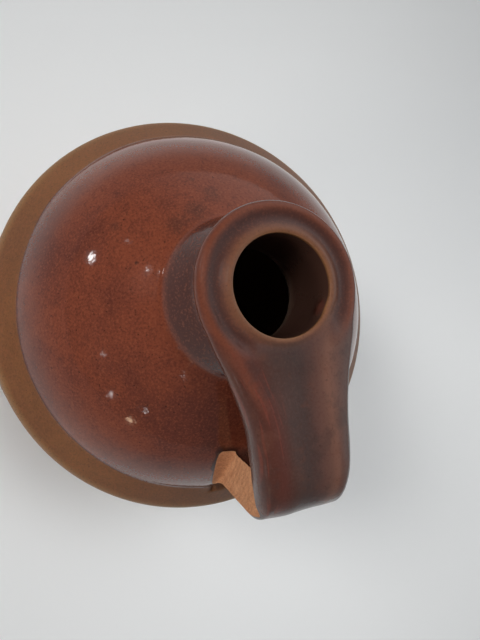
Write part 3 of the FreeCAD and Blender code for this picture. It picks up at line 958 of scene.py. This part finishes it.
def glazedMaterial():
    # heights, radii and distances are in mm; along is the run down the strap in units of 100 mm
    g = glaze
    material, n, shader = newMaterial("brownGlaze")
    place = n.place()
    split = n.add("ShaderNodeSeparateXYZ", i0=place).outputs
    outwards, height = n.product(split[0], 1000.0), n.product(split[2], 1000.0)
    radius = n.calc("ADD", n.calc("POWER", split[0], 2.0), n.calc("POWER", split[1], 2.0))
    radius = n.product(n.calc("SQRT", radius), 1000.0)
    broad, mottle, grain, speck, cloud, waver, wander, swell, pebble = [
        n.noise(place, *g["patterns"][name])
        for name in ("broad", "mottle", "grain", "speck", "cloud", "waver", "wander", "swell", "pebble")]
    strapShare, across, along, lift, inside, breakRimAndShade, run = [
        n.attribute(name) for name in ("strapShare", "across", "along", "lift", "inside", "breakRimAndShade", "drip")]

    base = n.mix(n.fade(broad, 0.36, 0.60), g["domeDark"], g["dome"])
    base = n.mix(n.fade(mottle, 0.50, 0.72, 0.0, 0.35), base, g["grainDark"])
    # the glaze ends in a wavering line, and below it the shoulder is a paler tan
    level = n.calc("ADD", height, n.line(waver, 2.4, -1.2))
    tan = n.fade(n.line(mottle, 0.35, n.product(broad, 0.65)), 0.3, 0.7)
    tan = n.mix(tan, g["shoulder"], g["shoulderPale"])
    # a painted highlight on the rounded outer edge of the shoulder
    corner = n.product(n.fade(height, 138.0, 143.0), n.fade(radius, 72.8, 75.4, 0.0, 0.6))
    tan = n.mix(corner, tan, g["shoulderEdgeHighlight"])
    onDome = n.fade(level, 154.9, 155.5)
    base = n.mix(onDome, tan, base)
    base = n.mix(n.product(onDome, n.fade(level, 156.6, 155.6), 0.8), base, g["line"])
    # dark marks, and painted shade on the dome under the strap's near side
    for x, y, z, reach, strength in g["marksAndShade"]:
        away = n.add("ShaderNodeVectorMath", {"operation": "DISTANCE"}, i0=place,
                     i1=(x / 1000, y / 1000, z / 1000)).outputs["Value"]
        away = n.line(mottle, 1.6 * reach, n.line(away, 1000.0, -0.8 * reach))
        base = n.mix(n.fade(away, reach, 0.0, 0.0, strength), base, g["markAndShade"])
    # the neck darkens under the collar: painted shade
    base = n.mix(n.fade(height, 196.0, 200.5, 0.0, 0.85), base, g["neckShade"])
    # the collar is pale at the lip, dark where glaze pooled in the hollow, and redder and lighter on its
    # roll, partly the glaze's own colour and partly a painted highlight
    collarTone = n.ramp(n.calc("ADD", radius, n.line(wander, 1.8, -0.9)), g["collar"])
    base = n.mix(n.fade(height, 219.5, 223.0), base, collarTone)
    # the strap has soft bands along its length, which wander a little
    flow = n.add("ShaderNodeCombineXYZ", i0=across, i1=n.product(along, 1.3)).outputs[0]
    wobble = n.line(n.noise(flow, 2.2, 2.0, 0.45), 0.30, -0.15)
    spread = n.product(n.fade(along, 0.34, 0.12), n.fade(across, 0.0, -0.6, 0.0, 0.11))
    across = n.calc("ADD", n.calc("ADD", across, wobble), spread)
    tone = n.ramp(across, g["strap"])
    # the near ridge glows redder before the bend, and thin red lines run on past it
    ember = n.product(n.fade(across, -0.50, -0.66), n.fade(across, -0.86, -0.74))
    early = n.product(n.fade(along, 0.38, 0.24), n.fade(n.noise(flow, 4.0, 2.0, 0.5), 0.30, 0.62))
    tone = n.mix(n.product(ember, n.product(early, 0.35)), tone, g["ember"])
    thin = n.add("ShaderNodeCombineXYZ", i0=across, i1=n.product(along, 0.35)).outputs[0]
    thin = n.fade(n.noise(thin, 15.0, 2.0, 0.5), 0.56, 0.68, 0.0, 0.45)
    tone = n.mix(n.product(thin, n.fade(across, -0.25, -0.45)), tone, g["thinLine"])
    tone = n.mix(n.fade(cloud, 0.52, 0.68, 0.0, 0.4), tone, g["cloudPale"])
    tone = n.mix(n.fade(cloud, 0.48, 0.34, 0.0, 0.3), tone, g["cloudDark"])
    # painted shade on the strap's underside
    tone = n.mix(n.fade(lift, 0.1, -0.5, 0.0, 0.7), tone, g["under"])
    overCollar = n.product(n.fade(outwards, 9.0, 20.0), n.fade(radius, 14.9, 16.4),
                           n.fade(height, 216.0, 220.0))
    strapShare = n.product(n.fade(strapShare, 0.15, 0.85), n.fade(outwards, 16.0, 24.0))
    onStrap = n.calc("MAXIMUM", overCollar, strapShare)
    base = n.mix(onStrap, base, tone)
    # a close grain of paler and darker specks, fainter on collar and strap
    soft = n.fade(height, 212.0, 219.0, 1.0, 0.45)
    for pattern, low, high, strength, tone in (
            (grain, 0.50, 0.68, 0.42, n.mix(onStrap, g["grainPale"], g["grainPaleStrap"])),
            (grain, 0.50, 0.34, 0.5, n.mix(onDome, g["grainDarkShoulder"], g["grainDark"])),
            (speck, 0.71, 0.76, 0.6, g["speck"])):
        base = n.mix(n.product(n.fade(pattern, low, high, 0.0, strength), soft), base, tone)
    # the dark rim round the break, partly the glaze's own edge and partly painted shade
    base = n.mix(n.fade(breakRimAndShade, 0.35, 1.0, 0.0, 0.85), base, g["breakRimAndShade"])
    mouth = n.product(n.fade(height, 226.55, 225.9), n.fade(radius, 15.3, 14.8))
    # inside the mouth, paler far down as painted light
    within = n.mix(n.fade(height, 206.0, 192.0), g["inside"], g["deepPaintedLight"])
    base = n.mix(n.calc("MAXIMUM", n.fade(inside, 0.3, 0.7), mouth), base, within)
    base = n.mix(n.fade(run, 0.15, 0.6, 0.0, 0.7), base, g["drip"])
    n.feed(shader.inputs["Base Color"], base)
    satin = n.calc("MAXIMUM", onStrap, n.fade(height, 216.0, 221.0))
    rough = n.calc("ADD", n.line(mottle, 0.06, g["roughness"] - 0.02), n.product(satin, g["satin"]))
    n.feed(shader.inputs["Roughness"], n.calc("ADD", rough, n.fade(onDome, 1.0, 0.0, 0.0, g["matt"])))
    n.bump(shader, 1.0, 0.001, n.line(swell, 0.16, n.product(pebble, 0.03)))
    return material


clay = {
    "dark": (186, 128, 90),
    "pale": (206, 150, 110),
    "speckDark": (128, 80, 54),
    "speckPale": (226, 176, 136),
    "roughness": 0.85,
}


def clayMaterial():
    material, n, shader = newMaterial("bareClay")
    place = n.place()
    coarse, fine = n.noise(place, 420.0, 4.0, 0.6), n.noise(place, 1800.0, 3.0, 0.7)
    base = n.mix(n.fade(coarse, 0.3, 0.7), clay["dark"], clay["pale"])
    base = n.mix(n.fade(fine, 0.54, 0.66, 0.0, 0.6), base, clay["speckDark"])
    base = n.mix(n.fade(fine, 0.46, 0.34, 0.0, 0.5), base, clay["speckPale"])
    n.feed(shader.inputs["Base Color"], base)
    n.feed(shader.inputs["Roughness"], clay["roughness"])
    n.bump(shader, 0.5, 0.0004, n.calc("ADD", n.product(coarse, 0.35), n.product(fine, 0.5)))
    return material


jug.data.materials.append(glazedMaterial())
tool.data.materials.append(clayMaterial())

cut = jug.modifiers.new("break", "BOOLEAN")
cut.operation = "DIFFERENCE"
cut.object = tool
cut.solver = "EXACT"
cut.material_mode = "TRANSFER"
bpy.context.view_layer.update()
evaluated = jug.evaluated_get(bpy.context.evaluated_depsgraph_get())
finished = bpy.data.meshes.new_from_object(evaluated)
jug.modifiers.clear()
jug.data = finished
bpy.data.objects.remove(tool)
jug.data.shade_smooth()
jug.data.set_sharp_from_angle(angle=math.radians(38))
print("break cut,", len(jug.data.polygons), "faces, materials", [m.name for m in jug.data.materials])


def nearBreak(spots):
    # 1 at the rim of the break, fading away from it: a bell of the distance to the broken face,
    # which is the gap across divided by the face's slope
    x, y, z = spots.T
    step = 0.2
    leg = (x > broken["rimFrom"]) & (y < 0) & (z < broken["rimTo"]) & (z > domeLine(x) - 1)
    tiltX = (breakOffset(x + step, z) - breakOffset(x - step, z)) / (2 * step)
    tiltZ = (breakOffset(x, z + step) - breakOffset(x, z - step)) / (2 * step)
    miss = (-y - breakOffset(x, z)) / np.sqrt(1 + tiltX ** 2 + tiltZ ** 2)
    return np.where(leg, np.exp(-(miss / broken["rim"]) ** 2), 0)


def fillAttributes(piece):
    # where each point lies on the strap, how much it belongs to it, and what is inside the jug
    mesh = piece.data
    count = len(mesh.vertices)
    spots = np.empty(count * 3)
    mesh.vertices.foreach_get("co", spots)
    spots = spots.reshape(-1, 3) * 1000
    height = spots[:, 2]
    innerRows = rows[:topRow - 1:-1]
    inside = np.hypot(spots[:, 0], spots[:, 1]) < np.interp(height, innerRows[:, 1], innerRows[:, 0]) + 0.8
    inside &= (height > 8.5) & (height < 223.5)
    share, across, along, lift = np.zeros((4, count))
    use = np.flatnonzero(~inside & (height > 135))
    share[use], run, shape = jugDistance(spots[use])[2:]
    across[use] = (spots[use, 1] - shape[2]) / shape[0]
    along[use] = run / 100
    lift[use] = 1 + 2 * strapDistance(spots[use])[4] / shape[1]
    values = {"strapShare": share, "across": across, "along": along, "lift": lift,
              "inside": inside.astype(float), "breakRimAndShade": nearBreak(spots), "drip": drip(spots)}
    for name, value in values.items():
        layer = mesh.attributes.new(name, "FLOAT", "POINT")
        layer.data.foreach_set("value", value.astype(np.float32))


fillAttributes(jug)
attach(jug, "root")
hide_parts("jug")
print("jug dressed")


# Plain pale floor and soft studio light
studio = {
    "floor": (248, 250, 251),
    "floorRoughness": 0.9,
    "floorReach": 20,          # m
    "room": 0.14,              # brightness of the room
    "brighter": 0.50,          # and how much more there is on its bright side
    "towards": (-0.42, 0.91, 0.0),
    "tint": (0.97, 0.985, 1.0),
    "lampDistance": 1.8,       # m
}

floorMesh = bpy.data.meshes.new("floor")
reach = studio["floorReach"]
corners = [(-reach, -reach, 0), (reach, -reach, 0), (reach, reach, 0), (-reach, reach, 0)]
floorMesh.from_pydata(corners, [], [(0, 1, 2, 3)])
floor = bpy.data.objects.new("floor", floorMesh)
bpy.context.scene.collection.objects.link(floor)
floorMaterial, n, floorShader = newMaterial("paleFloor")
n.feed(floorShader.inputs["Base Color"], colour(studio["floor"]))
n.feed(floorShader.inputs["Roughness"], studio["floorRoughness"])
floor.data.materials.append(floorMaterial)

world = bpy.data.worlds.new("studio")
bpy.context.scene.world = world
world.use_nodes = True
sky = Nodes(world.node_tree)
direction = sky.add("ShaderNodeTexCoord").outputs["Generated"]
aside = sky.add("ShaderNodeVectorMath", {"operation": "DOT_PRODUCT"}, i0=direction,
                i1=studio["towards"]).outputs["Value"]
background = sky.tree.nodes["Background"]
sky.feed(background.inputs[0], studio["tint"] + (1.0,))
brightest = studio["room"] + studio["brighter"]
sky.feed(background.inputs[1], sky.fade(aside, 0.05, 0.95, studio["room"], brightest))


def window(name, azimuthAngle, elevation, width, height, radiance, glossy=True, tint=(1, 1, 1), spread=60,
           target=(0, 0, 0.15)):
    # rectangular lamp that faces its target; width, height and the spread of its light are angles
    # in degrees, and the narrower the spread, the less energy gives the same brightness ahead
    lamp = bpy.data.lights.new(name, "AREA")
    lamp.shape = "RECTANGLE"
    lamp.size = 2 * studio["lampDistance"] * math.tan(math.radians(width / 2))
    lamp.size_y = 2 * studio["lampDistance"] * math.tan(math.radians(height / 2))
    half = math.radians(spread / 2)
    lamp.spread = 2 * half
    lamp.energy = radiance * lamp.size * lamp.size_y * math.pi * (1 - half / math.tan(half))
    lamp.color = tint
    made = bpy.data.objects.new(name, lamp)
    a, e = math.radians(azimuthAngle), math.radians(elevation)
    aim = np.array([math.cos(a) * math.cos(e), math.sin(a) * math.cos(e), math.sin(e)])
    made.location = (aim * studio["lampDistance"] + target).tolist()
    made.rotation_euler = Euler((math.radians(90 - elevation), 0, math.radians(azimuthAngle + 90)), "XYZ")
    made.visible_glossy = glossy
    made.visible_camera = False
    bpy.context.scene.collection.objects.link(made)


# Three lamps light the jug without showing in the glaze, two of them aimed a little to the far side
beside = (0.02, 0.05, 0.10)
window("softKey", -122, 48, 19, 19, 21.0, False, (1.0, 0.985, 0.96), 28, beside)
window("softTop", 165, 78, 21, 21, 14.5, False, (0.98, 0.99, 1.0), 30, beside)
window("softLow", -76, 16, 22, 14, 8.5, False, (1.0, 0.95, 0.88))
# and small panes give the glints: azimuth, elevation, width, height and brightness
for name, *values in (
        ("paneLeft", -127, 12, 4.2, 3.0, 30), ("paneHigh", -131, 48, 1.3, 1.6, 26),
        ("paneBack", -143, 27, 0.8, 1.2, 14), ("paneFront", -75, 18, 0.8, 0.8, 18),
        ("paneLow", -55, 8, 1.2, 2.8, 20), ("paneWarm", -39, 3, 3.2, 2.6, 9, True, (1.0, 0.72, 0.48)),
        ("paneFar", -37, 14, 0.9, 0.9, 20), ("paneNear", -30, 45, 0.9, 0.9, 20)):
    window(name, *values)
print("studio lit")

bpy.context.scene.view_settings.view_transform = "Standard"
